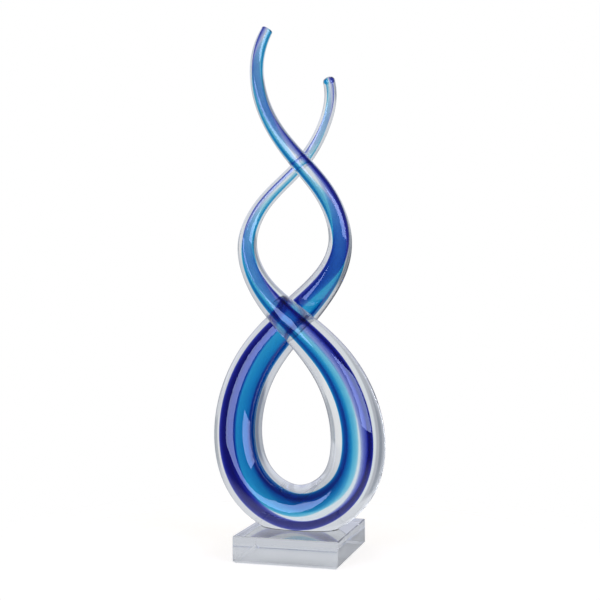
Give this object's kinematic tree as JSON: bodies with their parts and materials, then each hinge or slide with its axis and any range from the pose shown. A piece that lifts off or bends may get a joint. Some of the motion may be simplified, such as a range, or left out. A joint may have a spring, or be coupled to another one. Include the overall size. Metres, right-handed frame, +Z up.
{
  "type": "crystal award",
  "caption": "Art-glass award: a two-colour cased glass rod bent into a loop with twisted tapering arms, bonded to a bevelled crystal block.",
  "frame": {"origin": "middle of the crystal block's underside", "axes": "+Z up, +X along the front to the right as a viewer faces the award, -Y towards the viewer"},
  "size_m": [0.1375, 0.09, 0.406],
  "materials": {
    "base_crystal": "optical crystal, ground and polished on every face, with fine bevels",
    "clear_adhesive": "cured clear adhesive film",
    "casing_glass": "clear soft glass, fire polished",
    "cobalt_glass": "transparent cobalt blue glass",
    "aqua_glass": "transparent aqua blue glass",
    "heart_glass": "clear glass heart on which the colours are laid"
  },
  "bodies": {
    "root": {"crystal_base": "base_crystal", "bond_layer": "clear_adhesive", "clear_casing": "casing_glass", "cobalt_layer": "cobalt_glass", "aqua_layer": "aqua_glass", "heart_core": "heart_glass"}
  },
  "joints": []
}
